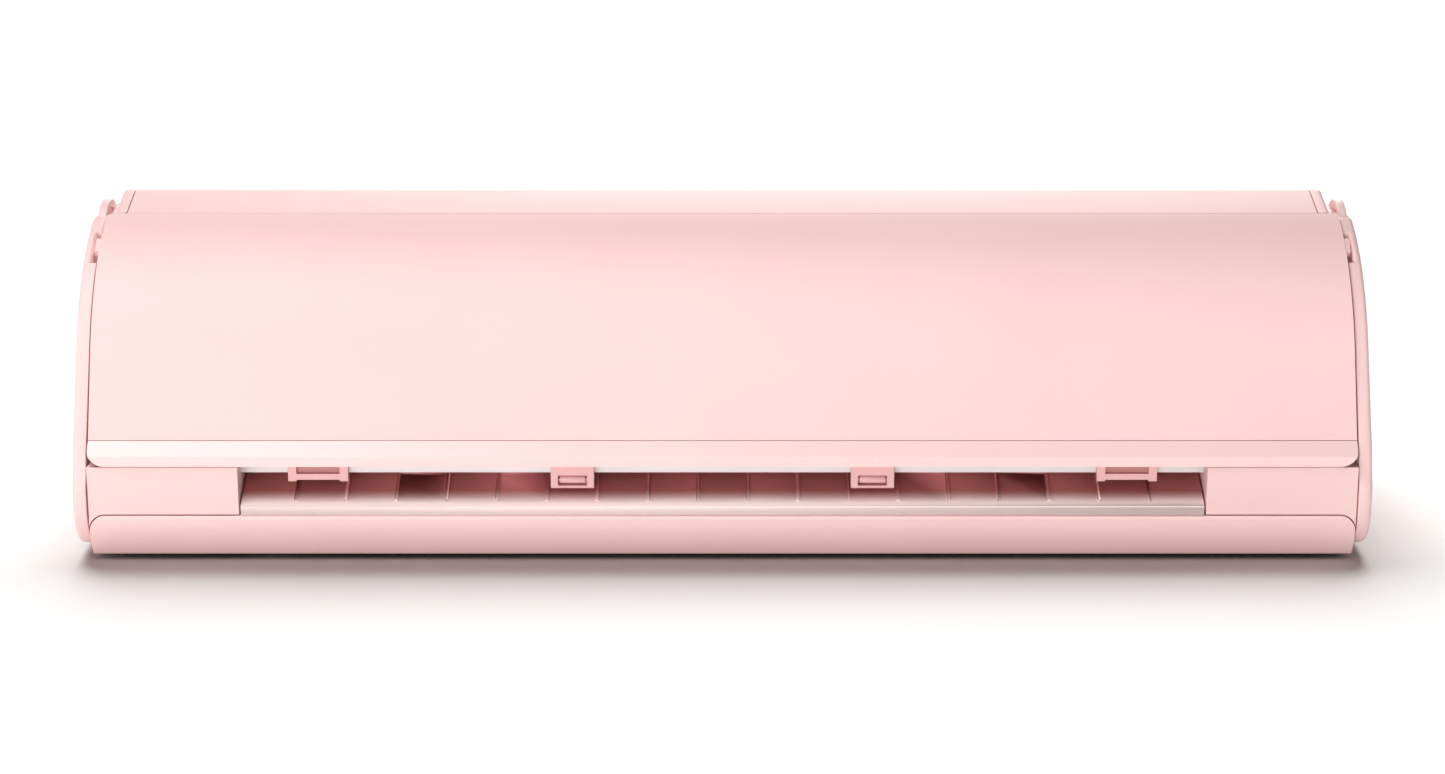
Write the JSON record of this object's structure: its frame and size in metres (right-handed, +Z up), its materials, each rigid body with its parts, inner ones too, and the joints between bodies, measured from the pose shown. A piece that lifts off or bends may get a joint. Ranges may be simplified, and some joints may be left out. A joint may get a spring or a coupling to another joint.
{
  "type": "vinyl cutter",
  "caption": "Desktop roll and sheet cutter with a curved hinged lid, front media slot, moving tool carriage, grit feed roller and a pull-out roll drawer.",
  "frame": {"origin": "on the table under the middle of the machine's bounding box", "axes": "+X along the carriage's travel to the machine's right as seen from the front, +Z up, and the front with the media slot faces -Y"},
  "size_m": [0.656, 0.2, 0.17],
  "materials": {
    "pink_abs": "moulded, fine satin",
    "pale_pink_abs": "moulded, soft gloss",
    "rose_abs": "moulded, satin",
    "off_white_abs": "moulded, satin",
    "grey_abs": "moulded, fine texture",
    "charcoal_abs": "moulded, fine texture",
    "zinc_steel": "zinc plated sheet",
    "aluminium": "anodised extrusion",
    "motor_steel": "rolled motor can",
    "rubber": "moulded",
    "grit_steel": "blasted grit bands",
    "acetal": "machined or moulded gear stock",
    "panel_glass": "hard coated cover",
    "circuit_board": "solder mask",
    "strip_ptfe": "self-adhesive cutting strip"
  },
  "bodies": {
    "machine": {"base_pan": "zinc_steel", "foot_front_left": "rubber", "foot_front_right": "rubber", "foot_rear_left": "rubber", "foot_rear_right": "rubber", "side_frame_left": "zinc_steel", "side_frame_right": "zinc_steel", "side_cover_left": "pink_abs", "side_cover_right": "pink_abs", "rear_cover": "pink_abs", "rear_cap_left": "pink_abs", "rear_cap_right": "pink_abs", "fascia_left": "pink_abs", "fascia_right": "pink_abs", "media_tray": "rose_abs", "roller_beam": "off_white_abs", "center_block_left": "rose_abs", "center_block_right": "rose_abs", "platen": "grey_abs", "cutting_strip": "strip_ptfe", "carriage_rail": "aluminium", "end_housing_left": "pale_pink_abs", "end_housing_right": "pale_pink_abs", "touch_panel": "panel_glass", "carriage_motor": "motor_steel", "feed_motor": "motor_steel", "main_board": "circuit_board", "power_inlet": "charcoal_abs", "usb_port": "charcoal_abs", "drive_belt": "rubber"},
    "lid": {"lid_shell": "pink_abs", "lid_lip": "pale_pink_abs", "lid_arm_left": "pink_abs", "lid_arm_right": "pink_abs"},
    "drawer": {"drawer_front": "pink_abs", "drawer_tray": "grey_abs"},
    "roll_arm_left": {"roll_support_left": "grey_abs"},
    "roll_arm_right": {"roll_support_right": "grey_abs"},
    "arm_wheel_left": {"support_wheel_left": "grey_abs"},
    "arm_wheel_right": {"support_wheel_right": "grey_abs"},
    "feed_shaft": {"feed_roller": "grit_steel", "feed_gear": "acetal"},
    "feed_pinion": {"motor_pinion": "acetal"},
    "pinch_frame_left": {"pinch_bracket_left": "rose_abs"},
    "pinch_frame_right": {"pinch_bracket_right": "rose_abs"},
    "pinch_wheel_left": {"pinch_roller_left": "rubber"},
    "pinch_wheel_right": {"pinch_roller_right": "rubber"},
    "nose_wheel_left": {"nose_roller_left": "rubber"},
    "nose_wheel_right": {"nose_roller_right": "rubber"},
    "carriage_body": {"carriage": "off_white_abs"},
    "holder_body_1": {"tool_holder_1": "grey_abs"},
    "holder_body_2": {"tool_holder_2": "grey_abs"},
    "lock_flap_1": {"tool_lock_1": "grey_abs"},
    "lock_flap_2": {"tool_lock_2": "grey_abs"},
    "blade_body": {"blade_tool": "charcoal_abs"},
    "idler_wheel": {"idler_pulley": "zinc_steel"},
    "drive_wheel": {"drive_pulley": "zinc_steel"},
    "button_cap": {"power_button": "rose_abs"},
    "cutter_knob": {"cross_cutter": "rose_abs"}
  },
  "joints": [
    {"name": "lid_hinge", "type": "hinge", "parent": "machine", "child": "lid", "pos_m": [0, 0.007, 0.158], "axis": [-1, 0, 0], "range_deg": [0, 88]},
    {"name": "drawer_slide", "type": "slide", "parent": "machine", "child": "drawer", "axis": [0, -1, 0], "range_m": [0, 0.115]},
    {"name": "roll_support_flip_left", "type": "hinge", "parent": "drawer", "child": "roll_arm_left", "pos_m": [-0.24, -0.0865, 0.0113], "axis": [0, -1, 0], "range_deg": [0, 90]},
    {"name": "support_wheel_spin_left", "type": "hinge", "parent": "roll_arm_left", "child": "arm_wheel_left", "pos_m": [-0.1955, -0.0865, 0.0113], "axis": [0, 0, 1], "continuous": true},
    {"name": "roll_support_flip_right", "type": "hinge", "parent": "drawer", "child": "roll_arm_right", "pos_m": [0.24, -0.0865, 0.0113], "axis": [0, 1, 0], "range_deg": [0, 90]},
    {"name": "support_wheel_spin_right", "type": "hinge", "parent": "roll_arm_right", "child": "arm_wheel_right", "pos_m": [0.1955, -0.0865, 0.0113], "axis": [0, 0, 1], "continuous": true},
    {"name": "feed_spin", "type": "hinge", "parent": "machine", "child": "feed_shaft", "pos_m": [0, -0.05, 0.0375], "axis": [1, 0, 0], "continuous": true},
    {"name": "motor_pinion_spin", "type": "hinge", "parent": "machine", "child": "feed_pinion", "pos_m": [0.27, -0.02462, 0.02567], "axis": [1, 0, 0], "continuous": true},
    {"name": "pinch_slide_left", "type": "slide", "parent": "machine", "child": "pinch_frame_left", "axis": [1, 0, 0], "range_m": [0, 0.095]},
    {"name": "pinch_spin_left", "type": "hinge", "parent": "pinch_frame_left", "child": "pinch_wheel_left", "pos_m": [-0.205, -0.05, 0.0488], "axis": [1, 0, 0], "continuous": true},
    {"name": "nose_spin_left", "type": "hinge", "parent": "machine", "child": "nose_wheel_left", "pos_m": [-0.076, -0.0889, 0.0412], "axis": [1, 0, 0], "continuous": true},
    {"name": "pinch_slide_right", "type": "slide", "parent": "machine", "child": "pinch_frame_right", "axis": [-1, 0, 0], "range_m": [0, 0.095]},
    {"name": "pinch_spin_right", "type": "hinge", "parent": "pinch_frame_right", "child": "pinch_wheel_right", "pos_m": [0.205, -0.05, 0.0488], "axis": [1, 0, 0], "continuous": true},
    {"name": "nose_spin_right", "type": "hinge", "parent": "machine", "child": "nose_wheel_right", "pos_m": [0.076, -0.0889, 0.0412], "axis": [1, 0, 0], "continuous": true},
    {"name": "carriage_slide", "type": "slide", "parent": "machine", "child": "carriage_body", "axis": [-1, 0, 0], "range_m": [0, 0.444]},
    {"name": "tool_press_1", "type": "slide", "parent": "carriage_body", "child": "holder_body_1", "axis": [0, 0, -1], "range_m": [0, 0.005], "stiffness_N_per_m": 400, "springref_m": -0.004},
    {"name": "tool_lock_hinge_1", "type": "hinge", "parent": "holder_body_1", "child": "lock_flap_1", "pos_m": [0.1981, -0.0445, 0.084], "axis": [0, 0, -1], "range_deg": [0, 75]},
    {"name": "tool_press_2", "type": "slide", "parent": "carriage_body", "child": "holder_body_2", "axis": [0, 0, -1], "range_m": [0, 0.005], "stiffness_N_per_m": 400, "springref_m": -0.004},
    {"name": "tool_lock_hinge_2", "type": "hinge", "parent": "holder_body_2", "child": "lock_flap_2", "pos_m": [0.2459, -0.0445, 0.084], "axis": [0, 0, 1], "range_deg": [0, 75]},
    {"name": "blade_lift", "type": "slide", "parent": "holder_body_1", "child": "blade_body", "axis": [0, 0, 1], "range_m": [0, 0.034]},
    {"name": "idler_spin", "type": "hinge", "parent": "machine", "child": "idler_wheel", "pos_m": [-0.24, 0.0405, 0.095], "axis": [0, 1, 0], "continuous": true},
    {"name": "drive_spin", "type": "hinge", "parent": "machine", "child": "drive_wheel", "pos_m": [0.24, 0.0405, 0.095], "axis": [0, 1, 0], "continuous": true},
    {"name": "power_press", "type": "slide", "parent": "machine", "child": "button_cap", "axis": [0, 0.6433, -0.7656], "range_m": [0, 0.001], "stiffness_N_per_m": 600, "springref_m": -0.0008},
    {"name": "cross_cutter_slide", "type": "slide", "parent": "machine", "child": "cutter_knob", "axis": [1, 0, 0], "range_m": [0, 0.4526]}
  ],
  "couplings": [
    {"joint": "roll_support_flip_left", "follows": "drawer_slide", "rad_per_m": 13.659},
    {"joint": "roll_support_flip_right", "follows": "drawer_slide", "rad_per_m": 13.659},
    {"joint": "motor_pinion_spin", "follows": "feed_spin", "ratio": -2.5},
    {"joint": "pinch_spin_left", "follows": "feed_spin", "ratio": -1.4444},
    {"joint": "nose_spin_left", "follows": "feed_spin", "ratio": -3.25},
    {"joint": "pinch_spin_right", "follows": "feed_spin", "ratio": -1.4444},
    {"joint": "nose_spin_right", "follows": "feed_spin", "ratio": -3.25},
    {"joint": "idler_spin", "follows": "carriage_slide", "rad_per_m": -161.29},
    {"joint": "drive_spin", "follows": "carriage_slide", "rad_per_m": -161.29}
  ]
}
